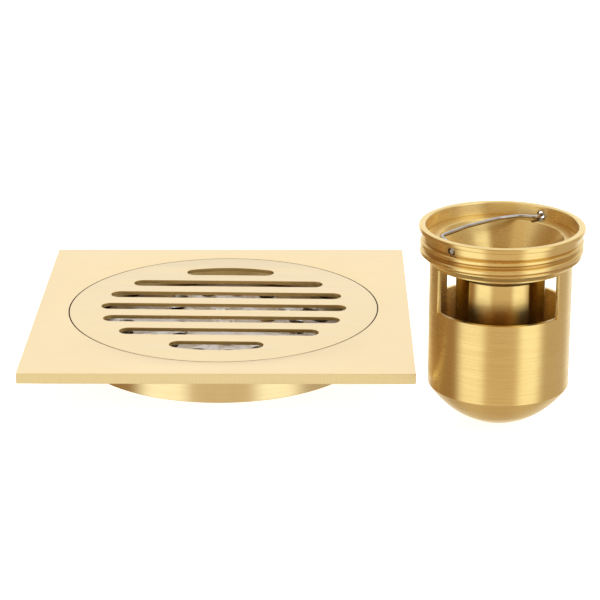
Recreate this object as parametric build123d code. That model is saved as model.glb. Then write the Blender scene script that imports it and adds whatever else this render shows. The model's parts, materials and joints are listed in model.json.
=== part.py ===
from build123d import *
import math
import os

# Square brass floor drain with its lift-out trap core standing beside it.
# Millimetres, +Z up.  Origin: on the drain's axis, at the underside of the bowl,
# which is the foot of the threaded socket that takes the core.

# ---------------------------------------------------------------- cover plate
PLATE_SIDE = 100.0
PLATE_THICK = 2.75
PLATE_TOP = 12.2
PLATE_EDGE_BREAK = 0.12
RECESS_R = 41.75

# ---------------------------------------------------------------- slotted grate
GRATE_R = 41.45
GRATE_THICK = 1.0
GRATE_TURN = -1.5
GRATE_EDGE_BREAK = 0.1
SLOT_CUTTER_R = 2.45
SLOT_PITCH = 9.7
SLOT_CIRCLE_R = 33.15
FULL_SLOTS_EACH_SIDE = 2

# ---------------------------------------------------------------- bowl
BOWL_OUTER_R = 39.4
BOWL_FLANGE_R = 40.7
BOWL_INNER_R = 36.2
BOWL_LOWER_R = 33.4
BOWL_FLOOR_THICK = 3.3
BOWL_EDGE_BREAK = 0.4
SOCKET_R = 20.1
SOCKET_EDGE_BREAK = 0.3

# ---------------------------------------------------------------- strainer
STRAINER_R = 35.6
STRAINER_THICK = 0.8
STRAINER_SEAT_Z = 5.9
STRAINER_HOLE_R = 2.25
STRAINER_RINGS = [(12.9, 10, -11.5), (20.3, 15, 12.0), (26.9, 20, 11.5)]
BOSS_FOOT_R = 4.2
BOSS_TOP_R = 3.0
BOSS_HEIGHT = 1.2

# ---------------------------------------------------------------- trap core body
CORE_X = 70.5
CORE_Y = -48.3
CORE_HEIGHT = 50.8
LIP_R = 20.35
LIP_THICK = 1.2
LIP_ROUND = 0.45
BORE_R = 18.66
NECK_R = 19.6
NECK_FOOT_Z = 47.75
THREAD_CREST_R = 20.0
THREAD_ROOT_R = 19.3
THREAD_PITCH = 2.2
THREAD_TOP_CREST_Z = 46.9
THREAD_TURNS = 2
TAPER_TOP_Z = 43.3
TAPER_FOOT_Z = 41.7
CUP_R = 17.52
CUP_WALL = 1.0
DOME_EDGE_Z = 10.0
DOME_FLAT_R = 3.5
DOME_SAGITTA = 1.6
WINDOW_SILL_Z = 30.4
WINDOW_HEAD_Z = 41.4
WINDOW_HALF_ANGLE = 57.0
WINDOW_TURN = -8.0

# ---------------------------------------------------------------- dip tube
FLANGE_TOP_Z = 47.6
FLANGE_THICK = 1.2
TUBE_R = 11.0
TUBE_WALL = 1.2
TUBE_FOOT_Z = 12.0
FUNNEL_MOUTH_R = 15.2
FUNNEL_FOOT_Z = 38.4

# ---------------------------------------------------------------- bail wire
WIRE_R = 0.5
WIRE_HOLE_R = 1.0
WIRE_AXIS_Z = 48.45
WIRE_AXIS_TURN = 51.0
WIRE_AXIS_OFFSET = 1.1
WIRE_DROOP = 2.0
WIRE_TIP = 19.5

CORE = Pos(CORE_X, CORE_Y, 0)
WIRE_AXIS = Pos(0, 0, WIRE_AXIS_Z) * Rot(0, 0, WIRE_AXIS_TURN) * Pos(0, WIRE_AXIS_OFFSET, 0)


def turned(profile):
    """Revolve a closed outline, given as (radius, height) points, about Z."""
    outline = Polyline(*[(r, 0, z) for r, z in profile], close=True)
    return revolve(make_face(outline), Axis.Z)


def cylinder_between(radius, low, high):
    """A cylinder on the Z axis from one height to another."""
    return Pos(0, 0, (low + high) / 2) * Cylinder(radius, high - low)


def make_square_plate():
    low = PLATE_TOP - PLATE_THICK
    plate = Pos(0, 0, PLATE_TOP - PLATE_THICK / 2) * Box(PLATE_SIDE, PLATE_SIDE, PLATE_THICK)
    plate = chamfer(plate.faces().sort_by(Axis.Z)[-1].edges(), PLATE_EDGE_BREAK)
    plate -= cylinder_between(BOWL_FLANGE_R, low - 1, PLATE_TOP + 1)
    plate -= cylinder_between(RECESS_R, PLATE_TOP - GRATE_THICK, PLATE_TOP + 1)
    return plate


def make_drain_bowl():
    """The turned bowl; its flange fills the hole in the plate and carries the rim of the grate."""
    rim = PLATE_TOP - GRATE_THICK
    flange_low = PLATE_TOP - PLATE_THICK
    return turned([
        (SOCKET_R, 0),
        (BOWL_OUTER_R - BOWL_EDGE_BREAK, 0),
        (BOWL_OUTER_R, BOWL_EDGE_BREAK),
        (BOWL_OUTER_R, flange_low),
        (BOWL_FLANGE_R, flange_low),
        (BOWL_FLANGE_R, rim),
        (BOWL_INNER_R, rim),
        (BOWL_INNER_R, STRAINER_SEAT_Z),
        (BOWL_LOWER_R, STRAINER_SEAT_Z),
        (BOWL_LOWER_R, BOWL_FLOOR_THICK),
        (SOCKET_R + SOCKET_EDGE_BREAK, BOWL_FLOOR_THICK),
        (SOCKET_R, BOWL_FLOOR_THICK - SOCKET_EDGE_BREAK),
    ])


def full_slot(y):
    """A straight slot whose round ends touch the slot circle from inside."""
    end_circle = SLOT_CIRCLE_R - SLOT_CUTTER_R
    half_run = math.sqrt(end_circle**2 - y**2)
    return Pos(0, y, 0) * SlotCenterToCenter(2 * half_run, 2 * SLOT_CUTTER_R)


def segment_slot():
    """The outermost slot: straight inside, following the slot circle outside."""
    inner_y = (FULL_SLOTS_EACH_SIDE + 1) * SLOT_PITCH - SLOT_CUTTER_R
    beyond = Pos(0, inner_y + SLOT_CIRCLE_R, 0) * Rectangle(2 * SLOT_CIRCLE_R, 2 * SLOT_CIRCLE_R)
    segment = Circle(SLOT_CIRCLE_R) & beyond
    return fillet(segment.vertices(), SLOT_CUTTER_R)


def make_slotted_grate():
    low = PLATE_TOP - GRATE_THICK
    outline = Circle(GRATE_R)
    for row in range(-FULL_SLOTS_EACH_SIDE, FULL_SLOTS_EACH_SIDE + 1):
        outline -= full_slot(row * SLOT_PITCH)
    outline -= segment_slot()
    outline -= Rot(0, 0, 180) * segment_slot()
    grate = extrude(Pos(0, 0, low) * outline, GRATE_THICK)
    grate = chamfer(grate.faces().sort_by(Axis.Z)[-1].edges(), GRATE_EDGE_BREAK)
    return Rot(0, 0, GRATE_TURN) * grate


def make_strainer_disc():
    low = STRAINER_SEAT_Z
    top = low + STRAINER_THICK
    inside_step = STRAINER_THICK / 2
    disc = turned([
        (STRAINER_HOLE_R, low + BOSS_HEIGHT),
        (BOSS_TOP_R - inside_step, low + BOSS_HEIGHT),
        (BOSS_FOOT_R - inside_step, low),
        (STRAINER_R, low),
        (STRAINER_R, top),
        (BOSS_FOOT_R, top),
        (BOSS_TOP_R, top + BOSS_HEIGHT),
        (STRAINER_HOLE_R, top + BOSS_HEIGHT),
    ])
    hole = cylinder_between(STRAINER_HOLE_R, low - 1, top + 1)
    for ring_r, count, first_angle in STRAINER_RINGS:
        disc -= Rot(0, 0, first_angle) * PolarLocations(ring_r, count) * hole
    return disc


def arc_through(start, end, sagitta):
    """The arc from start to end, given as (radius, height), bulging outwards and down."""
    span_r = end[0] - start[0]
    span_z = end[1] - start[1]
    span = math.hypot(span_r, span_z)
    middle = ((start[0] + end[0]) / 2 - sagitta * span_z / span,
              (start[1] + end[1]) / 2 + sagitta * span_r / span)
    return ThreePointArc((start[0], 0, start[1]), (middle[0], 0, middle[1]), (end[0], 0, end[1]))


def neck_outline():
    """Outside of the core from the foot of the cup wall up to the lip."""
    points = [(CUP_R, DOME_EDGE_Z), (CUP_R, TAPER_FOOT_Z), (THREAD_ROOT_R, TAPER_TOP_Z)]
    flank = THREAD_PITCH * 0.32
    crest_half = THREAD_PITCH * 0.14
    for turn in reversed(range(THREAD_TURNS)):
        crest = THREAD_TOP_CREST_Z - turn * THREAD_PITCH
        points.append((THREAD_ROOT_R, crest - crest_half - flank))
        points.append((THREAD_CREST_R, crest - crest_half))
        points.append((THREAD_CREST_R, crest + crest_half))
        points.append((THREAD_ROOT_R, crest + crest_half + flank))
    lip_low = CORE_HEIGHT - LIP_THICK
    points.append((NECK_R, NECK_FOOT_Z + 0.2))
    points.append((NECK_R, lip_low))
    points.append((LIP_R - LIP_ROUND, lip_low))
    points.append((LIP_R, lip_low + LIP_ROUND))
    points.append((LIP_R, CORE_HEIGHT - LIP_ROUND))
    points.append((LIP_R - LIP_ROUND, CORE_HEIGHT))
    return points


def make_trap_body():
    seat_z = FLANGE_TOP_Z - FLANGE_THICK
    cup_inner_r = CUP_R - CUP_WALL
    inner_dome_edge = (cup_inner_r, DOME_EDGE_Z + 0.3)
    inner_dome_foot = (DOME_FLAT_R - 0.3, CUP_WALL)
    bore = [(BORE_R, CORE_HEIGHT), (BORE_R, seat_z), (cup_inner_r, seat_z), inner_dome_edge]
    floor = [inner_dome_foot, (0, CUP_WALL), (0, 0), (DOME_FLAT_R, 0)]
    outline = Curve() + [
        arc_through((CUP_R, DOME_EDGE_Z), (DOME_FLAT_R, 0), DOME_SAGITTA),
        Polyline(*[(r, 0, z) for r, z in neck_outline() + bore]),
        arc_through(inner_dome_edge, inner_dome_foot, DOME_SAGITTA),
        Polyline(*[(r, 0, z) for r, z in floor]),
    ]
    body = revolve(make_face(outline), Axis.Z)
    body -= window_cutter(WINDOW_TURN)
    body -= window_cutter(WINDOW_TURN + 180)
    drill = Rot(0, 90, 0) * Cylinder(WIRE_HOLE_R, 3 * LIP_R)
    body -= WIRE_AXIS * drill
    return CORE * body


def window_cutter(turn):
    """A sector-shaped block that opens one water window in the cup wall."""
    reach = 2 * CUP_R
    half = math.radians(WINDOW_HALF_ANGLE)
    wedge = Polyline(
        (0, 0),
        (reach * math.sin(-half), reach * math.cos(half)),
        (0, 2 * reach),
        (reach * math.sin(half), reach * math.cos(half)),
        close=True,
    )
    block = extrude(Pos(0, 0, WINDOW_SILL_Z) * make_face(wedge), WINDOW_HEAD_Z - WINDOW_SILL_Z)
    return Rot(0, 0, turn) * block


def make_dip_tube():
    seat_z = FLANGE_TOP_Z - FLANGE_THICK
    bore = TUBE_R - TUBE_WALL
    funnel_outer_r = FUNNEL_MOUTH_R + TUBE_WALL
    return CORE * turned([
        (bore, TUBE_FOOT_Z),
        (TUBE_R, TUBE_FOOT_Z),
        (TUBE_R, FUNNEL_FOOT_Z),
        (funnel_outer_r - 0.2, seat_z),
        (BORE_R, seat_z),
        (BORE_R, FLANGE_TOP_Z),
        (FUNNEL_MOUTH_R, FLANGE_TOP_Z),
        (bore, FUNNEL_FOOT_Z),
    ])


def make_bail_wire():
    """The lifting wire: both tips lie in the neck holes, the arch is folded down to one side."""
    arch = [(-17.3, 0), (-10.4, 9.9), (0.5, 9.4), (10.6, 6.9), (15.4, 3.9), (16.4, 0)]
    corners = [(-WIRE_TIP, 0)] + arch + [(WIRE_TIP, 0)]
    bends = [1.2, 2.6, 6.0, 6.0, 1.8, 1.2]
    path = FilletPolyline(*[(along, across, 0) for along, across in corners], radius=bends)
    section = Plane(origin=path @ 0, z_dir=path % 0) * Circle(WIRE_R)
    wire = sweep(section, path)
    return CORE * WIRE_AXIS * Rot(-WIRE_DROOP, 0, 0) * wire


NODES = {
    "square_plate": make_square_plate,
    "drain_bowl": make_drain_bowl,
    "slotted_grate": make_slotted_grate,
    "strainer_disc": make_strainer_disc,
    "trap_body": make_trap_body,
    "dip_tube": make_dip_tube,
    "bail_wire": make_bail_wire,
}

os.makedirs("parts", exist_ok=True)
for name, make in NODES.items():
    export_step(make(), f"parts/{name}.step")
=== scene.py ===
import json
import math

import bmesh
import bpy
from mathutils import Matrix, Vector


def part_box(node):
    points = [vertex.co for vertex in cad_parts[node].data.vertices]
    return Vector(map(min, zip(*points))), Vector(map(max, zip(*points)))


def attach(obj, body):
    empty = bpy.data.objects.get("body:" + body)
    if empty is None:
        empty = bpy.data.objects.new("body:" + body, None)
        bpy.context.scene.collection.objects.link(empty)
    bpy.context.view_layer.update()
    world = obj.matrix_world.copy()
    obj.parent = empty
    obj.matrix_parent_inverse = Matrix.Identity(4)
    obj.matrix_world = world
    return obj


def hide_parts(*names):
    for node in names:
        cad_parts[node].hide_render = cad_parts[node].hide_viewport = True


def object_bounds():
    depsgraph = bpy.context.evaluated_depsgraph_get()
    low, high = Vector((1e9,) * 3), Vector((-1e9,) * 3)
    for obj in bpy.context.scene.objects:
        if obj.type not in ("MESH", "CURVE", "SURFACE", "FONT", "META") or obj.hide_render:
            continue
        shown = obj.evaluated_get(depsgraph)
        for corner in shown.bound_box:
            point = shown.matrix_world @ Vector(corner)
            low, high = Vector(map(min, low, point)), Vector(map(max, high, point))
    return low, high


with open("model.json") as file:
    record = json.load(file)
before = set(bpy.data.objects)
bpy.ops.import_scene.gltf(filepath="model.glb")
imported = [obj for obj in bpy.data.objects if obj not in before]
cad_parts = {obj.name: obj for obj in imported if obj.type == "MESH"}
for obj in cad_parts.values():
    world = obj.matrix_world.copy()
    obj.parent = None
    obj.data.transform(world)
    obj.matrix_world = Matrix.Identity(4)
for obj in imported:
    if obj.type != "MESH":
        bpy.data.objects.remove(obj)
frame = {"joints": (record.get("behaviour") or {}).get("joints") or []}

cad_low, cad_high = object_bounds()

MM = 0.001
scene = bpy.context.scene

# ------------------------------------------------------------------ sizes, read from the frame
plate_low, plate_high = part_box("square_plate")
grate_low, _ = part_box("slotted_grate")
_, bowl_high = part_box("drain_bowl")
disc_low, disc_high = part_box("strainer_disc")
core_low, core_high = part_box("trap_body")
tube_low, tube_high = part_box("dip_tube")
bail_joint = next(j for j in frame["joints"] if j["name"] == "bail_swing")

CORE_AXIS = Vector(((core_low.x + core_high.x) / 2, (core_low.y + core_high.y) / 2, 0))
PLATE_TOP = plate_high.z / MM
PLATE_FOOT = plate_low.z / MM
PLATE_HALF = plate_high.x / MM
LEDGE_Z = grate_low.z / MM
FLANGE_R = bowl_high.x / MM
DISC_R = disc_high.x / MM
DISC_FOOT = disc_low.z / MM
CORE_TOP = core_high.z / MM
LIP_R = (core_high.x - core_low.x) / 2 / MM
FLANGE_TOP = tube_high.z / MM
TUBE_FOOT = tube_low.z / MM

# ------------------------------------------------------------------ sizes the boxes don't hold, mm
# cover plate
RECESS_R = 41.75
CORNER_R = 0.35
PLATE_EDGE = 0.1
LIP_EDGE = 0.08

# grate
GRATE_R = 41.45
GRATE_TURN = math.radians(-1.5)
SLOT_R = 2.45
SLOT_PITCH = 9.7
SLOT_CIRCLE_R = 33.15

# bowl
BOWL_R = 39.4
BOWL_INNER_R = 36.2
BOWL_LOWER_R = 33.4
BOWL_FLOOR = 3.3
BOWL_EDGE = 0.35
STRAINER_SEAT = 5.9
SOCKET_R = 20.1

# strainer; each ring of holes has a radius, a count and the angle of its first hole in degrees
DISC_THICK = 0.8
DISC_EDGE = 0.3
HOLE_R = 2.25
HOLE_EDGE = 0.1
HOLE_RINGS = [(12.9, 10, -11.5), (20.3, 15, 12.0), (26.9, 20, 11.5)]
BOSS_FOOT_R = 4.2
BOSS_TOP_R = 3.0
BOSS_HEIGHT = 1.2

# core: lip, bore and neck
LIP_THICK = 1.2
BORE_R = 18.66
NECK_R = 19.6
NECK_FOOT = 47.75
NECK_EDGE = 0.4

# core: thread; the half width of a tooth and the width of its flank are in turns
CREST_R = 20.0
ROOT_R = 19.3
PITCH = 2.2
TOP_CREST = 46.9
TOOTH_HALF = 0.42
FLANK = 0.28

# core: cup and windows; the window angles are in degrees
TAPER_TOP = 43.3
TAPER_FOOT = 41.7
CUP_R = 17.52
CUP_WALL = 1.0
CUP_EDGE = 0.12
DOME_EDGE = 10.0
DOME_FLAT_R = 3.5
DOME_SAGITTA = 1.6
SILL = 30.4
HEAD = 41.4
WINDOW_HALF = 57
WINDOW_TURN = -8

# dip tube
FLANGE_THICK = 1.2
TUBE_R = 11.0
TUBE_WALL = 1.2
TUBE_EDGE = 0.3
FUNNEL_R = 15.2
FUNNEL_FOOT = 38.4

# bail; its corners are (along the pivot, away from it)
WIRE_R = 0.5
WIRE_BEND = 3.0
WIRE_DROOP = math.radians(2.0)
WIRE_TIP = 19.5
WIRE_CORNERS = [
    (-WIRE_TIP, 0), (-17.3, 0), (-10.4, 9.9), (0.5, 9.4), (10.6, 6.9), (15.4, 3.9), (16.4, 0), (WIRE_TIP, 0),
]
BAIL_HOLE_R = 1.0


# ------------------------------------------------------------------ mesh tools
def new_object(name, verts, faces, origin=Vector((0, 0, 0)), sharp_deg=28):
    """A mesh object from points in millimetres, with its own origin in metres."""
    mesh = bpy.data.meshes.new(name)
    mesh.from_pydata([(x * MM, y * MM, z * MM) for x, y, z in verts], [], faces)
    obj = bpy.data.objects.new(name, mesh)
    obj.location = origin
    scene.collection.objects.link(obj)
    smooth_shade(obj, sharp_deg)
    return obj


def smooth_shade(obj, sharp_deg=28):
    """Smooth faces everywhere, with hard edges only where the surface really turns."""
    bm = bmesh.new()
    bm.from_mesh(obj.data)
    bmesh.ops.recalc_face_normals(bm, faces=bm.faces)
    limit = math.radians(sharp_deg)
    for face in bm.faces:
        face.smooth = True
    for edge in bm.edges:
        if len(edge.link_faces) == 2:
            edge.smooth = edge.calc_face_angle(0) < limit
    bm.to_mesh(obj.data)
    bm.free()


def apply_modifiers(obj):
    """Replace the object's mesh by what its modifiers make of it."""
    depsgraph = bpy.context.evaluated_depsgraph_get()
    depsgraph.update()
    made = bpy.data.meshes.new_from_object(obj.evaluated_get(depsgraph), depsgraph=depsgraph)
    obj.modifiers.clear()
    obj.data = made


def merge_points(mesh, distance):
    """Weld points closer than a distance in metres."""
    bm = bmesh.new()
    bm.from_mesh(mesh)
    bmesh.ops.remove_doubles(bm, verts=bm.verts, dist=distance)
    bm.to_mesh(mesh)
    bm.free()


def cut_out(obj, cutter):
    """Cut the cutter's shape out of the object, and delete the cutter."""
    cut = obj.modifiers.new("cut", "BOOLEAN")
    cut.object = cutter
    cut.operation = "DIFFERENCE"
    cut.solver = "EXACT"
    apply_modifiers(obj)
    bpy.data.objects.remove(cutter)


def soften(obj, width):
    """Bevel every edge that turns sharply, by a width in millimetres."""
    bevel = obj.modifiers.new("soften", "BEVEL")
    bevel.width = width * MM
    bevel.segments = 2
    bevel.limit_method = "ANGLE"
    bevel.angle_limit = math.radians(50)
    apply_modifiers(obj)


def mesh_from_curve(curve, outlines, closed):
    """The mesh a curve datablock makes of flat outlines in millimetres."""
    for outline in outlines:
        spline = curve.splines.new("POLY")
        spline.points.add(len(outline) - 1)
        for point, (x, y) in zip(spline.points, outline):
            point.co = (x * MM, y * MM, 0, 1)
        spline.use_cyclic_u = closed
    holder = bpy.data.objects.new(curve.name + "_curve", curve)
    scene.collection.objects.link(holder)
    depsgraph = bpy.context.evaluated_depsgraph_get()
    depsgraph.update()
    mesh = bpy.data.meshes.new_from_object(holder.evaluated_get(depsgraph), depsgraph=depsgraph)
    bpy.data.objects.remove(holder)
    return mesh


def rounded(points, radius, steps=3, closed=True, least_turn=20):
    """Round the corners of a (radius, height) outline."""
    made = []
    count = len(points)
    for i, point in enumerate(points):
        here = Vector(point)
        if not closed and i in (0, count - 1):
            made.append(tuple(here))
            continue
        before = Vector(points[i - 1]) - here
        after = Vector(points[(i + 1) % count]) - here
        turn = math.pi - before.angle(after)
        if turn < math.radians(least_turn):
            made.append(tuple(here))
            continue
        reach = min(radius * math.tan(turn / 2), 0.42 * before.length, 0.42 * after.length)
        start = here + before.normalized() * reach
        end = here + after.normalized() * reach
        for k in range(steps + 1):
            t = k / steps
            made.append(tuple(start * (1 - t) ** 2 + here * (2 * t * (1 - t)) + end * t**2))
    return made


def lathe(name, outline, origin=Vector((0, 0, 0)), segments=288):
    """Turn a closed (radius, height) outline about Z."""
    verts = []
    for k in range(segments):
        angle = 2 * math.pi * k / segments
        verts += [(r * math.cos(angle), r * math.sin(angle), z) for r, z in outline]
    rows = len(outline)
    faces = []
    for k in range(segments):
        near, far = k * rows, (k + 1) % segments * rows
        for j in range(rows):
            up = (j + 1) % rows
            faces.append((near + j, far + j, far + up, near + up))
    return new_object(name, verts, faces, origin)


def arc(start, end, sagitta, steps):
    """Points on the arc from start to end, bulging outwards and down, ends left out."""
    a, b = Vector(start), Vector(end)
    chord = b - a
    out = Vector((-chord.y, chord.x)).normalized()
    radius = (chord.length**2 / 4 + sagitta**2) / (2 * sagitta)
    centre = (a + b) / 2 - out * (radius - sagitta)
    first = math.atan2(a.y - centre.y, a.x - centre.x)
    last = math.atan2(b.y - centre.y, b.x - centre.x)
    made = []
    for k in range(1, steps):
        angle = first + (last - first) * k / steps
        made.append((centre.x + radius * math.cos(angle), centre.y + radius * math.sin(angle)))
    return made


def flat_plate(name, outer, holes, low, high, edge, turn=0.0):
    """A flat sheet with holes and rounded edges, from closed outlines in millimetres."""
    curve = bpy.data.curves.new(name, "CURVE")
    curve.dimensions = "2D"
    curve.fill_mode = "BOTH"
    curve.extrude = (high - low) / 2 * MM - edge * MM
    curve.bevel_depth = edge * MM
    curve.bevel_resolution = 2
    curve.offset = -edge * MM
    mesh = mesh_from_curve(curve, [outer] + holes, closed=True)
    mesh.transform(Matrix.Translation((0, 0, (low + high) / 2 * MM)) @ Matrix.Rotation(turn, 4, "Z"))
    merge_points(mesh, 1e-7)
    obj = bpy.data.objects.new(name, mesh)
    scene.collection.objects.link(obj)
    smooth_shade(obj, 35)
    return obj


def circle(radius, count, centre=(0, 0)):
    """Points of a full circle."""
    angles = [2 * math.pi * k / count for k in range(count)]
    return [(centre[0] + radius * math.cos(a), centre[1] + radius * math.sin(a)) for a in angles]


def corner_arc(centre, radius, first, last, steps):
    """Points of an arc from the first angle to the last, in degrees."""
    made = []
    for k in range(steps + 1):
        angle = math.radians(first + (last - first) * k / steps)
        made.append((centre[0] + radius * math.cos(angle), centre[1] + radius * math.sin(angle)))
    return made


# ------------------------------------------------------------------ the pieces
def make_plate():
    """Square sheet with rounded corners, a recess for the grate and a hole for the bowl."""
    edge = PLATE_EDGE
    per_side = 64

    def square(half, z):
        r = CORNER_R
        points = []
        for quarter in range(4):
            turn = Matrix.Rotation(quarter * math.pi / 2, 2)
            side = [Vector((half, -half + r + (2 * half - 2 * r) * k / per_side)) for k in range(per_side)]
            bend = [Vector(p) for p in corner_arc((half - r, half - r), r, 0, 90, 6)]
            points += [tuple(turn @ p) + (z,) for p in side + bend]
        return points

    def ring(radius, z, like):
        made = []
        for x, y, _ in like:
            reach = math.hypot(x, y)
            made.append((x / reach * radius, y / reach * radius, z))
        return made

    flat = square(PLATE_HALF - edge, PLATE_TOP)
    loops = [ring(FLANGE_R, PLATE_FOOT, flat), square(PLATE_HALF - edge, PLATE_FOOT)]
    for k in range(5):
        a = math.pi / 2 * k / 4
        inset = edge * (1 - math.sin(a))
        loops.append(square(PLATE_HALF - inset, PLATE_FOOT + edge * (1 - math.cos(a))))
    for k in range(5):
        a = math.pi / 2 * k / 4
        inset = edge * (1 - math.cos(a))
        loops.append(square(PLATE_HALF - inset, PLATE_TOP - edge * (1 - math.sin(a))))
    loops.append(ring(RECESS_R + LIP_EDGE, PLATE_TOP, flat))
    loops.append(ring(RECESS_R + LIP_EDGE * 0.3, PLATE_TOP - LIP_EDGE * 0.3, flat))
    loops.append(ring(RECESS_R, PLATE_TOP - LIP_EDGE, flat))
    loops.append(ring(RECESS_R, LEDGE_Z, flat))
    loops.append(ring(FLANGE_R, LEDGE_Z, flat))
    count = len(flat)
    verts = [p for loop in loops for p in loop]
    faces = []
    for j in range(len(loops)):
        up = (j + 1) % len(loops)
        for k in range(count):
            on = (k + 1) % count
            faces.append((j * count + k, j * count + on, up * count + on, up * count + k))
    obj = new_object("cover_plate", verts, faces, sharp_deg=35)
    merge_points(obj.data, 1e-8)
    smooth_shade(obj, 35)
    return obj


def slot_outline(y):
    """A straight slot with round ends that touch the slot circle."""
    end_r = SLOT_CIRCLE_R - SLOT_R
    half = math.sqrt(end_r**2 - y**2)
    right = corner_arc((half, y), SLOT_R, 90, -90, 20)
    left = corner_arc((-half, y), SLOT_R, 270, 90, 20)
    return right + left


def segment_outline(side):
    """The outer slot: straight towards the middle, following the slot circle outside."""
    inner_y = 3 * SLOT_PITCH - SLOT_R
    end_y = inner_y + SLOT_R
    end_r = SLOT_CIRCLE_R - SLOT_R
    end_x = math.sqrt(end_r**2 - end_y**2)
    tip = math.degrees(math.atan2(end_y, end_x))
    points = corner_arc((0, 0), SLOT_CIRCLE_R, 180 - tip, tip, 28)
    points += corner_arc((end_x, end_y), SLOT_R, tip, -90, 12)[1:]
    points += corner_arc((-end_x, end_y), SLOT_R, 270, 180 - tip, 12)[:-1]
    return [(x * side, y * side) for x, y in points]


def make_grate():
    """Round sheet with five straight slots and two segment-shaped ones."""
    slots = [slot_outline(row * SLOT_PITCH) for row in range(-2, 3)]
    slots += [segment_outline(1), segment_outline(-1)]
    return flat_plate("grate", circle(GRATE_R, 288), slots, LEDGE_Z, PLATE_TOP, LIP_EDGE, GRATE_TURN)


def make_bowl():
    """Turned bowl: flange, strainer ledge, floor and the socket for the core."""
    outline = [
        (SOCKET_R, 0), (BOWL_R, 0), (BOWL_R, PLATE_FOOT), (FLANGE_R, PLATE_FOOT), (FLANGE_R, LEDGE_Z),
        (BOWL_INNER_R, LEDGE_Z), (BOWL_INNER_R, STRAINER_SEAT), (BOWL_LOWER_R, STRAINER_SEAT),
        (BOWL_LOWER_R, BOWL_FLOOR), (SOCKET_R, BOWL_FLOOR),
    ]
    return lathe("bowl", rounded(outline, BOWL_EDGE))


def make_strainer():
    """A pressed disc with a raised centre and three rings of punched holes."""
    top = DISC_FOOT + DISC_THICK
    step = DISC_THICK / 2
    outline = [
        (HOLE_R, DISC_FOOT + BOSS_HEIGHT), (BOSS_TOP_R - step, DISC_FOOT + BOSS_HEIGHT),
        (BOSS_FOOT_R - step, DISC_FOOT), (DISC_R, DISC_FOOT), (DISC_R, top), (BOSS_FOOT_R, top),
        (BOSS_TOP_R, top + BOSS_HEIGHT), (HOLE_R, top + BOSS_HEIGHT),
    ]
    disc = lathe("strainer", rounded(outline, DISC_EDGE), segments=192)
    verts, faces = [], []
    sides = 40
    for ring_r, count, first in HOLE_RINGS:
        for k in range(count):
            a = math.radians(first + 360 * k / count)
            base = len(verts)
            around = circle(HOLE_R, sides, (ring_r * math.cos(a), ring_r * math.sin(a)))
            verts += [(x, y, DISC_FOOT - 1) for x, y in around] + [(x, y, top + 1) for x, y in around]
            faces += [(base + j, base + (j + 1) % sides, base + sides + (j + 1) % sides, base + sides + j)
                      for j in range(sides)]
            faces.append(tuple(base + j for j in reversed(range(sides))))
            faces.append(tuple(base + sides + j for j in range(sides)))
    cut_out(disc, new_object("punches", verts, faces))
    soften(disc, HOLE_EDGE)
    smooth_shade(disc, 35)
    return disc


def thread_radius(z, angle):
    """Outer radius of the neck at a height and angle, with its right-hand thread."""
    turns = (z - TOP_CREST) / PITCH - (angle + math.pi / 2) / (2 * math.pi)
    away = abs(turns - round(turns))
    tooth = min(max((TOOTH_HALF - away) / FLANK, 0), 1)
    tooth = tooth * tooth * (3 - 2 * tooth) * 0.6 + tooth * 0.4
    fade = min(max((NECK_FOOT - z) / 0.5, 0), 1) * min(max((z - TAPER_TOP + 0.1) / 0.6, 0), 1)
    return ROOT_R + (CREST_R - ROOT_R) * tooth * fade


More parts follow.
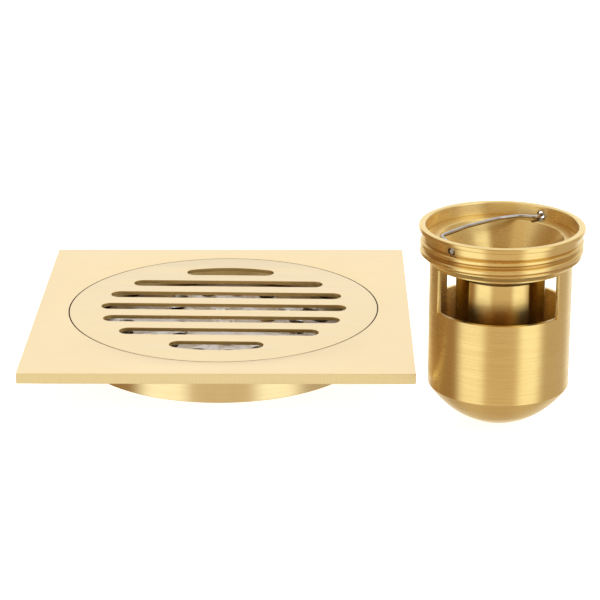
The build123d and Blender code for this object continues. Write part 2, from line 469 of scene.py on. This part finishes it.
def make_trap_body():
    """Turned body: domed cup with two windows, threaded neck and lip."""
    seat = FLANGE_TOP - FLANGE_THICK
    inner_r = CUP_R - CUP_WALL
    segments = 360
    dome = arc((CUP_R, DOME_EDGE), (DOME_FLAT_R, 0), DOME_SAGITTA, 24)[::-1]
    rows = [(0.0, 0.0), (DOME_FLAT_R, 0)] + dome + [(CUP_R, DOME_EDGE), (CUP_R, DOME_EDGE + 0.4)]
    sill_out = len(rows)
    rows += [(CUP_R, SILL), (CUP_R, HEAD), (CUP_R, TAPER_FOOT)]
    thread_rows = 70
    rows += [(None, TAPER_TOP + (NECK_FOOT - TAPER_TOP) * k / thread_rows) for k in range(thread_rows + 1)]
    lip_low = CORE_TOP - LIP_THICK
    neck = [(NECK_R, NECK_FOOT + 0.2), (NECK_R, lip_low), (LIP_R, lip_low), (LIP_R, CORE_TOP),
            (BORE_R, CORE_TOP), (BORE_R, seat), (inner_r, seat), (inner_r, HEAD)]
    rows += rounded(neck, NECK_EDGE, 4, closed=False)
    sill_in = len(rows) - 1
    rows += [(inner_r, SILL), (inner_r, DOME_EDGE + 0.3)]
    rows += arc((inner_r, DOME_EDGE + 0.3), (DOME_FLAT_R - 0.3, CUP_WALL), DOME_SAGITTA, 20)
    rows += [(DOME_FLAT_R - 0.3, CUP_WALL), (0.0, CUP_WALL)]
    last = len(rows) - 1
    verts = [(0, 0, 0), (0, 0, CUP_WALL)]
    for k in range(segments):
        angle = 2 * math.pi * k / segments
        for j in range(1, last):
            r, z = rows[j]
            r = thread_radius(z, angle) if r is None else r
            verts.append((r * math.cos(angle), r * math.sin(angle), z))

    def at(j, k):
        return 2 + (k % segments) * (last - 1) + j - 1

    def in_window(k):
        degrees = (k + 0.5) * 360 / segments
        for middle in (90 + WINDOW_TURN, 270 + WINDOW_TURN):
            if abs((degrees - middle + 180) % 360 - 180) < WINDOW_HALF:
                return True
        return False

    faces = []
    for k in range(segments):
        faces.append((0, at(1, k + 1), at(1, k)))
        faces.append((1, at(last - 1, k), at(last - 1, k + 1)))
        open_here = in_window(k)
        for j in range(1, last - 1):
            if open_here and j in (sill_out, sill_in):
                continue
            faces.append((at(j, k), at(j, k + 1), at(j + 1, k + 1), at(j + 1, k)))
        if open_here:
            faces.append((at(sill_out, k), at(sill_out, k + 1), at(sill_in + 1, k + 1), at(sill_in + 1, k)))
            faces.append((at(sill_out + 1, k), at(sill_out + 1, k + 1), at(sill_in, k + 1), at(sill_in, k)))
        if open_here != in_window(k - 1):
            faces.append((at(sill_out, k), at(sill_out + 1, k), at(sill_in, k), at(sill_in + 1, k)))
    body = new_object("core_body", verts, faces, CORE_AXIS)
    drill_holes(body)
    soften(body, CUP_EDGE)
    smooth_shade(body, 30)
    return body


def drill_holes(body):
    """The two bail holes, drilled straight through the neck."""
    along = Vector(bail_joint["axis"])
    middle = (Vector(bail_joint["pos_m"]) - CORE_AXIS) / MM
    across = Vector((-along.y, along.x, 0))
    sides = 48
    verts = []
    for reach in (-1.4 * LIP_R, 1.4 * LIP_R):
        for k in range(sides):
            a = 2 * math.pi * k / sides
            p = middle + along * reach + across * BAIL_HOLE_R * math.cos(a)
            verts.append((p.x, p.y, p.z + BAIL_HOLE_R * math.sin(a)))
    faces = [(k, (k + 1) % sides, sides + (k + 1) % sides, sides + k) for k in range(sides)]
    faces += [tuple(reversed(range(sides))), tuple(range(sides, 2 * sides))]
    cut_out(body, new_object("drill", verts, faces, CORE_AXIS))


def make_dip_tube():
    """Flanged funnel and tube, pressed into the top of the core."""
    seat = FLANGE_TOP - FLANGE_THICK
    bore = TUBE_R - TUBE_WALL
    outline = [
        (bore, TUBE_FOOT), (TUBE_R, TUBE_FOOT), (TUBE_R, FUNNEL_FOOT), (FUNNEL_R + TUBE_WALL - 0.2, seat),
        (BORE_R - 0.02, seat), (BORE_R - 0.02, FLANGE_TOP), (FUNNEL_R, FLANGE_TOP), (bore, FUNNEL_FOOT),
    ]
    return lathe("funnel_tube", rounded(outline, TUBE_EDGE), CORE_AXIS)


def make_bail():
    """Bent wire with rounded tips, folded down to one side of the core's mouth."""
    curve = bpy.data.curves.new("bail", "CURVE")
    curve.dimensions = "3D"
    curve.bevel_depth = WIRE_R * MM
    curve.bevel_resolution = 6
    curve.use_fill_caps = True
    line = rounded(WIRE_CORNERS, WIRE_BEND, 10, closed=False, least_turn=2)
    mesh = mesh_from_curve(curve, [line], closed=False)
    along = Vector(bail_joint["axis"])
    turn = Matrix.Rotation(math.atan2(along.y, along.x), 4, "Z") @ Matrix.Rotation(-WIRE_DROOP, 4, "X")
    mesh.transform(turn)
    obj = bpy.data.objects.new("bail", mesh)
    obj.location = Vector(bail_joint["pos_m"])
    scene.collection.objects.link(obj)
    smooth_shade(obj, 50)
    return obj


# ------------------------------------------------------------------ materials
def principled(name, colour, roughness, metallic=1.0, anisotropic=0.0):
    """A material and its shader, with the plain values that stay on the shader."""
    material = bpy.data.materials.new(name)
    material.use_nodes = True
    shader = material.node_tree.nodes["Principled BSDF"]
    shader.inputs["Base Color"].default_value = (*colour, 1)
    shader.inputs["Metallic"].default_value = metallic
    shader.inputs["Roughness"].default_value = roughness
    shader.inputs["Anisotropic"].default_value = anisotropic
    return material, shader


class Graph:
    """Short names for adding and linking the nodes of a material or a world. Values are numbers or sockets."""

    def __init__(self, owner, coords="Object"):
        self.tree = owner.node_tree
        self.coords = self.add("ShaderNodeTexCoord").outputs[coords]

    def add(self, kind, **settings):
        node = self.tree.nodes.new(kind)
        for key, value in settings.items():
            setattr(node, key, value)
        return node

    def link(self, source, target):
        self.tree.links.new(source, target)

    def fill(self, slots, values):
        """Set or link each value into its slot."""
        for slot, value in zip(slots, values):
            if isinstance(value, tuple):
                slot.default_value = (*value, 1)
            elif isinstance(value, (int, float)):
                slot.default_value = value
            else:
                self.link(value, slot)

    def math(self, operation, a, b=0.0):
        node = self.add("ShaderNodeMath", operation=operation)
        self.fill(node.inputs, (a, b))
        return node.outputs[0]

    def times(self, a, b):
        return self.math("MULTIPLY", a, b)

    def length(self, a, b):
        return self.math("SQRT", self.math("ADD", self.times(a, a), self.times(b, b)))

    def split(self, vector):
        node = self.add("ShaderNodeSeparateXYZ")
        self.link(vector, node.inputs[0])
        return node.outputs

    def join(self, x, y, z):
        node = self.add("ShaderNodeCombineXYZ")
        self.fill(node.inputs, (x, y, z))
        return node.outputs[0]

    def noise(self, vector, scale, detail):
        node = self.add("ShaderNodeTexNoise")
        node.inputs["Scale"].default_value = scale
        node.inputs["Detail"].default_value = detail
        self.link(vector, node.inputs["Vector"])
        return node.outputs["Fac"]

    def spread(self, value, low, high, to_low, to_high):
        node = self.add("ShaderNodeMapRange")
        for slot, number in zip(list(node.inputs)[1:5], (low, high, to_low, to_high)):
            slot.default_value = number
        self.link(value, node.inputs["Value"])
        return node.outputs["Result"]

    def ease(self, value, low, high):
        node = self.add("ShaderNodeMapRange", interpolation_type="SMOOTHSTEP")
        node.inputs["From Min"].default_value = low
        node.inputs["From Max"].default_value = high
        self.link(value, node.inputs["Value"])
        return node.outputs["Result"]

    def mix(self, factor, a, b):
        """Colour a, turning into colour b as the factor goes from 0 to 1."""
        node = self.add("ShaderNodeMix", data_type="RGBA")
        self.fill((node.inputs[0], node.inputs[6], node.inputs[7]), (factor, a, b))
        return node.outputs[2]

    def bump(self, height, strength, distance):
        node = self.add("ShaderNodeBump")
        node.inputs["Strength"].default_value = strength
        node.inputs["Distance"].default_value = distance
        self.link(height, node.inputs["Height"])
        return node.outputs["Normal"]


def tinted(colour, *factors):
    """The colour times one factor, or one for each channel."""
    return tuple(c * f for c, f in zip(colour, factors * (3 // len(factors))))


# the walls of the gap round the grate: a painted highlight at the top, painted shade below
RIM_PAINTED_HIGHLIGHT = (1.0, 0.90, 0.66)
GAP_PAINTED_SHADE = (0.02, 0.012, 0.004)


def straight_brushed(name, colour, side_colour, roughness, shade_below):
    """Sheet brass, brushed along X on its faces, with satin cut edges. Both walls of the gap round the grate
    have a painted highlight at the top and painted shade from the given depth in mm under the top face
    downwards."""
    material, shader = principled(name, colour, roughness=roughness, anisotropic=0.45)
    g = Graph(material)
    x, y, z = g.split(g.coords)
    fine = g.noise(g.join(g.times(x, 0.03), y, z), 5200, 2)
    coarse = g.noise(g.join(g.times(x, 0.05), y, z), 900, 3)
    cloud = g.noise(g.coords, 38, 3)
    lines = g.math("ADD", g.times(fine, 0.6), g.times(coarse, 0.4))
    normal_x, normal_y, normal_z = g.split(g.add("ShaderNodeNewGeometry").outputs["Normal"])
    facing_up = g.spread(g.math("ABSOLUTE", normal_z), 0.3, 0.9, 0.0, 1.0)
    on_side = g.math("SUBTRACT", 1.0, facing_up)
    hatch = g.noise(g.join(x, y, g.times(z, 0.04)), 2300, 2)
    tone = g.mix(g.spread(cloud, 0.35, 0.65, 0.0, 1.0), colour, tinted(colour, 0.975))
    tone = g.mix(g.spread(lines, 0.3, 0.7, 0.0, 0.5), tone, tinted(colour, 0.97, 0.95, 0.9))
    cut = g.mix(g.spread(hatch, 0.3, 0.7, 0.0, 1.0), side_colour, tinted(side_colour, 0.94))
    reach = g.length(x, y)
    rim = g.times(g.spread(reach, (GRATE_R - 0.45) * MM, (GRATE_R - 0.25) * MM, 0.0, 1.0),
                  g.spread(reach, (RECESS_R + 0.35) * MM, (RECESS_R + 0.55) * MM, 1.0, 0.0))
    # painted highlight: the sides of the gap walls are pale brass near the top
    tone = g.mix(facing_up, g.mix(rim, cut, RIM_PAINTED_HIGHLIGHT), tone)
    # painted shade: the gap walls turn nearly black from the given depth under the top face downwards
    shade_top = PLATE_TOP - shade_below
    depth = g.spread(z, (shade_top - 0.06) * MM, shade_top * MM, 1.0, 0.0)
    g.link(g.mix(g.times(rim, depth), tone, GAP_PAINTED_SHADE), shader.inputs["Base Color"])
    rough = g.spread(lines, 0.25, 0.75, roughness - 0.05, roughness + 0.07)
    g.link(g.math("ADD", rough, g.times(on_side, 0.20)), shader.inputs["Roughness"])
    marks = g.math("ADD", g.times(lines, facing_up), g.times(hatch, on_side))
    g.link(g.bump(marks, 0.10, 0.04 * MM), shader.inputs["Normal"])
    grain_y = g.math("ADD", g.times(normal_x, on_side), facing_up)
    g.link(g.join(g.times(g.times(normal_y, -1.0), on_side), grain_y, 0.0), shader.inputs["Tangent"])
    return material


def turned_brass(name, colour, dark, roughness, anisotropic, details):
    """Lathe-turned brass: grooves run round the local Z axis, so highlights stretch along it. The details
    change its tone and roughness in places."""
    material, shader = principled(name, colour, roughness=roughness, anisotropic=anisotropic)
    g = Graph(material)
    x, y, z = g.split(g.coords)
    reach = g.length(x, y)
    around = g.times(g.math("ARCTAN2", y, x), 0.0006)
    fine = g.noise(g.join(around, reach, z), 4200, 2)
    coarse = g.noise(g.join(g.times(around, 2.0), reach, z), 700, 3)
    cloud = g.noise(g.coords, 90, 3)
    lines = g.math("ADD", g.times(fine, 0.6), g.times(coarse, 0.4))
    tone = g.mix(g.spread(lines, 0.3, 0.7, 0.0, 0.45), colour, dark)
    tone = g.mix(g.spread(cloud, 0.45, 0.75, 0.0, 0.35), tone, dark)
    rough = g.spread(lines, 0.25, 0.75, roughness - 0.05, roughness + 0.06)
    tone, rough = details(g, reach, z, tone, rough)
    g.link(tone, shader.inputs["Base Color"])
    g.link(rough, shader.inputs["Roughness"])
    g.link(g.bump(lines, 0.12, 0.03 * MM), shader.inputs["Normal"])
    g.link(g.join(g.times(y, -1.0), x, 0.0), shader.inputs["Tangent"])
    shader.inputs["Anisotropic Rotation"].default_value = 0.25
    return material


# painted shade on the inside of the bowl; it fades out between two heights in millimetres
WELL_PAINTED_SHADE = (0.16, 0.09, 0.03)
WELL_SHADE_FOOT = 7.0
WELL_SHADE_TOP = 8.8


def bowl_details(g, reach, z, tone, rough):
    """Painted shade inside, low down."""
    inside = g.spread(reach, (BOWL_INNER_R + 0.2) * MM, (BOWL_INNER_R + 0.4) * MM, 1.0, 0.0)
    deep = g.spread(z, WELL_SHADE_FOOT * MM, WELL_SHADE_TOP * MM, 1.0, 0.0)
    return g.mix(g.times(inside, deep), tone, WELL_PAINTED_SHADE), rough


# painted shade in the core's thread roots and bail holes, and painted light in its mouth
THREAD_ROOT_SHADE = (0.58, 0.35, 0.10)
BORE_PAINTED_LIGHT = (1.0, 0.82, 0.42)
HOLE_PAINTED_SHADE = (0.22, 0.12, 0.03)


def core_details(g, reach, z, tone, rough):
    """Painted shade in the thread roots and bail holes, painted light in the mouth, and a smoother neck and
    tube.
    """
    # painted shade in the thread roots
    root = g.spread(reach, (ROOT_R + 0.05) * MM, (CREST_R - 0.1) * MM, 0.75, 0.0)
    outside = g.spread(reach, (BORE_R + 0.3) * MM, (BORE_R + 0.5) * MM, 0.0, 1.0)
    in_thread = g.times(g.spread(z, TAPER_TOP * MM, (TAPER_TOP + 0.4) * MM, 0.0, 1.0),
                        g.spread(z, (NECK_FOOT - 0.2) * MM, (NECK_FOOT + 0.2) * MM, 1.0, 0.0))
    tone = g.mix(g.times(g.times(root, outside), in_thread), tone, THREAD_ROOT_SHADE)
    # painted light: the bore above the flange is made brighter
    bore = g.times(g.spread(reach, (BORE_R + 0.1) * MM, (BORE_R + 0.25) * MM, 1.0, 0.0),
                   g.spread(z, FLANGE_TOP * MM, (FLANGE_TOP + 0.2) * MM, 0.0, 1.0))
    tone = g.mix(bore, tone, BORE_PAINTED_LIGHT)
    x, y, _ = g.split(g.coords)
    pin = Vector(bail_joint["pos_m"]) - CORE_AXIS
    along = bail_joint["axis"]
    across = g.math("SUBTRACT", g.times(g.math("SUBTRACT", y, pin.y), along[0]),
                    g.times(g.math("SUBTRACT", x, pin.x), along[1]))
    away = g.length(across, g.math("SUBTRACT", z, pin.z))
    # painted shade in the bail holes
    drilled = g.spread(away, (BAIL_HOLE_R + 0.05) * MM, (BAIL_HOLE_R + 0.15) * MM, 1.0, 0.0)
    tone = g.mix(drilled, tone, HOLE_PAINTED_SHADE)
    neck = g.times(outside, g.spread(z, (TAPER_TOP - 1) * MM, TAPER_TOP * MM, 0.0, 1.0))
    tube = g.spread(reach, (TUBE_R + 0.3) * MM, (TUBE_R + 0.6) * MM, 1.0, 0.0)
    return tone, g.math("SUBTRACT", rough, g.times(g.math("MAXIMUM", neck, tube), 0.08))


def polished_steel(name, colour, roughness):
    """Pressed stainless sheet, bright and satin, with faint waves and handling marks."""
    material, shader = principled(name, colour, metallic=0.8, roughness=roughness)
    g = Graph(material)
    x, y, _ = g.split(g.coords)
    wave = g.noise(g.coords, 40, 1)
    scuff = g.noise(g.join(g.times(x, 0.1), y, 0.0), 2600, 2)
    g.link(g.spread(scuff, 0.35, 0.7, roughness - 0.03, roughness + 0.1), shader.inputs["Roughness"])
    tone = g.mix(g.spread(wave, 0.35, 0.65, 0.0, 0.5), colour, tinted(colour, 0.93))
    g.link(tone, shader.inputs["Base Color"])
    g.link(g.bump(scuff, 0.05, 0.03 * MM), shader.inputs["Normal"])
    return material


def drawn_wire(name, colour, roughness):
    """Hard drawn wire with fine lines along its length."""
    material, shader = principled(name, colour, roughness=roughness)
    g = Graph(material)
    lines = g.noise(g.coords, 3000, 2)
    cloud = g.noise(g.coords, 260, 2)
    g.link(g.spread(lines, 0.3, 0.7, roughness - 0.04, roughness + 0.08), shader.inputs["Roughness"])
    tone = g.mix(g.spread(cloud, 0.35, 0.65, 0.0, 1.0), colour, tinted(colour, 0.8))
    g.link(tone, shader.inputs["Base Color"])
    g.link(g.bump(cloud, 0.2, 0.1 * MM), shader.inputs["Normal"])
    return material


# ------------------------------------------------------------------ camera, studio, floor
CAMERA_AT = Vector((0.02597, -0.57321, 0.21533))
CAMERA_HEADING = math.radians(0.533)
CAMERA_DOWN = math.radians(19.336)
CAMERA_ROLL = math.radians(-0.115)
CAMERA_LENS = 135.0


def make_camera():
    """The camera fitted to the photo."""
    data = bpy.data.cameras.new("camera")
    data.lens = CAMERA_LENS
    data.sensor_width = 36.0
    data.clip_start = 0.01
    data.clip_end = 100.0
    camera = bpy.data.objects.new("camera", data)
    aim = Matrix.Rotation(CAMERA_HEADING, 4, "Z") @ Matrix.Rotation(math.pi / 2 - CAMERA_DOWN, 4, "X")
    camera.matrix_world = Matrix.Translation(CAMERA_AT) @ aim @ Matrix.Rotation(CAMERA_ROLL, 4, "Z")
    scene.collection.objects.link(camera)
    scene.camera = camera


# the colours of the tent
WHITE = (1.06, 1.06, 1.06)
PANEL = (1.20, 1.20, 1.17)
MIDDLE = (0.73, 0.61, 0.49)
FRONT_UP = (0.36, 0.21, 0.10)
LEFT_UP = (0.62, 0.46, 0.30)
DARK_SIDE = (0.36, 0.23, 0.13)
LIGHT_SIDE = (0.58, 0.49, 0.42)
UNDER = (0.60, 0.48, 0.35)


def tent_ring(g, turn, left, front):
    """The tent's colour round the horizon. Its stops are in degrees to the right of straight ahead."""
    stops = [
        (-180, WHITE), (-158, WHITE), (-140, DARK_SIDE), (-82, DARK_SIDE), (-60, left), (-37, left),
        (-20, front), (20, front), (37, PANEL), (55, PANEL), (76, LIGHT_SIDE), (122, LIGHT_SIDE),
        (150, WHITE), (180, WHITE),
    ]
    ramp = g.add("ShaderNodeValToRGB")
    ramp.color_ramp.interpolation = "EASE"
    elements = ramp.color_ramp.elements
    while len(elements) < len(stops):
        elements.new(0.5)
    for element, (degrees, colour) in zip(elements, stops):
        element.position = degrees / 360 + 0.5
        element.color = (*colour, 1)
    g.link(g.math("ADD", g.math("DIVIDE", turn, 2 * math.pi), 0.5), ramp.inputs[0])
    return ramp.outputs["Color"]


def make_world():
    """A tent, white above, with two bright panels in front, and darker to the left than to the right. Over the
    panels the front is closed by a warm, dim band."""
    world = bpy.data.worlds.new("studio")
    world.use_nodes = True
    g = Graph(world, "Generated")
    right, back, height = g.split(g.coords)
    ahead = g.times(back, -1.0)
    turn = g.math("ARCTAN2", right, ahead)
    downwards = g.ease(g.times(height, -1.0), 0.66, 0.90)
    low = g.mix(downwards, tent_ring(g, turn, PANEL, MIDDLE), UNDER)
    open_top = g.mix(g.ease(height, 0.55, 0.85), low, WHITE)
    band = g.times(g.ease(height, 0.20, 0.45), g.math("SUBTRACT", 1.0, g.ease(height, 0.84, 0.96)))
    closed = g.times(band, g.ease(ahead, 0.05, 0.35))
    full = g.mix(closed, open_top, tent_ring(g, turn, LEFT_UP, FRONT_UP))
    g.link(full, world.node_tree.nodes["Background"].inputs["Color"])
    scene.world = world


FLOOR_HALF = 10.0
FLOOR_WHITE = (0.9, 0.9, 0.9)
FLOOR_SHADE = (0.06, 0.05, 0.04)


def make_floor():
    """Plain white floor, lit to white, with a painted shadow under the bowl. Metal reflects the studio instead
    of it.
    """
    mesh = bpy.data.meshes.new("floor")
    signs = [(-1, -1), (1, -1), (1, 1), (-1, 1)]
    mesh.from_pydata([(a * FLOOR_HALF, b * FLOOR_HALF, 0) for a, b in signs], [], [(0, 1, 2, 3)])
    floor = bpy.data.objects.new("floor", mesh)
    scene.collection.objects.link(floor)
    material, shader = principled("floor_white", FLOOR_WHITE, metallic=0.0, roughness=1.0)
    g = Graph(material)
    x, y, _ = g.split(g.coords)
    # painted shadow: the floor goes dark and stops glowing under the bowl
    shade = g.spread(g.length(x, y), (BOWL_LOWER_R - 4) * MM, (BOWL_LOWER_R - 1) * MM, 1.0, 0.0)
    g.link(g.mix(shade, FLOOR_WHITE, FLOOR_SHADE), shader.inputs["Base Color"])
    g.link(g.mix(shade, (1.0, 1.0, 1.0), (0.0, 0.0, 0.0)), shader.inputs["Emission Color"])
    shader.inputs["Emission Strength"].default_value = 0.8
    mesh.materials.append(material)
    floor.location.z = cad_low.z - 0.05 * MM
    floor.visible_glossy = False
    floor.visible_shadow = False


def make_lights():
    """One large soft panel overhead, which metal doesn't mirror."""
    data = bpy.data.lights.new("overhead", "AREA")
    data.shape = "RECTANGLE"
    data.size = 0.9
    data.size_y = 0.6
    data.energy = 3.0
    light = bpy.data.objects.new("overhead", data)
    light.location = (0.03, 0.05, 0.9)
    light.visible_glossy = False
    scene.collection.objects.link(light)


# ------------------------------------------------------------------ assembly
scene.view_settings.view_transform = "Standard"
scene.view_settings.look = "None"

make_camera()
make_world()
make_lights()
make_floor()

plate_brass = straight_brushed("plate_brass", (0.975, 0.79, 0.485), (0.99, 0.865, 0.50), 0.34, 0.03)
# the grate's cut edges get a much darker brass than the plate's: painted shade for the walls of its slots
grate_brass = straight_brushed("grate_brass", (0.925, 0.755, 0.467), (0.66, 0.48, 0.20), 0.30, 0.14)
bowl_brass = turned_brass("bowl_brass", (0.90, 0.75, 0.41), (0.80, 0.62, 0.30), 0.20, 0.75, bowl_details)
core_brass = turned_brass("core_brass", (0.90, 0.69, 0.29), (0.80, 0.56, 0.20), 0.28, 0.93, core_details)
strainer_steel = polished_steel("strainer_steel", (0.97, 0.97, 0.98), 0.36)
wire_steel = drawn_wire("wire_steel", (0.56, 0.54, 0.51), 0.20)

PIECES = [
    (make_plate, plate_brass, "plate_brass", "frame", "square_plate"),
    (make_bowl, bowl_brass, "bowl_brass", "frame", "drain_bowl"),
    (make_grate, grate_brass, "grate_brass", "grate", "slotted_grate"),
    (make_strainer, strainer_steel, "strainer_steel", "strainer", "strainer_disc"),
    (make_trap_body, core_brass, "core_brass", "core", "trap_body"),
    (make_dip_tube, core_brass, "core_brass", "core", "dip_tube"),
    (make_bail, wire_steel, "wire_steel", "bail", "bail_wire"),
]
for make, material, slot, body, node in PIECES:
    piece = make()
    piece.data.materials.clear()
    piece.data.materials.append(material)
    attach(piece, body)
    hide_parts(node)
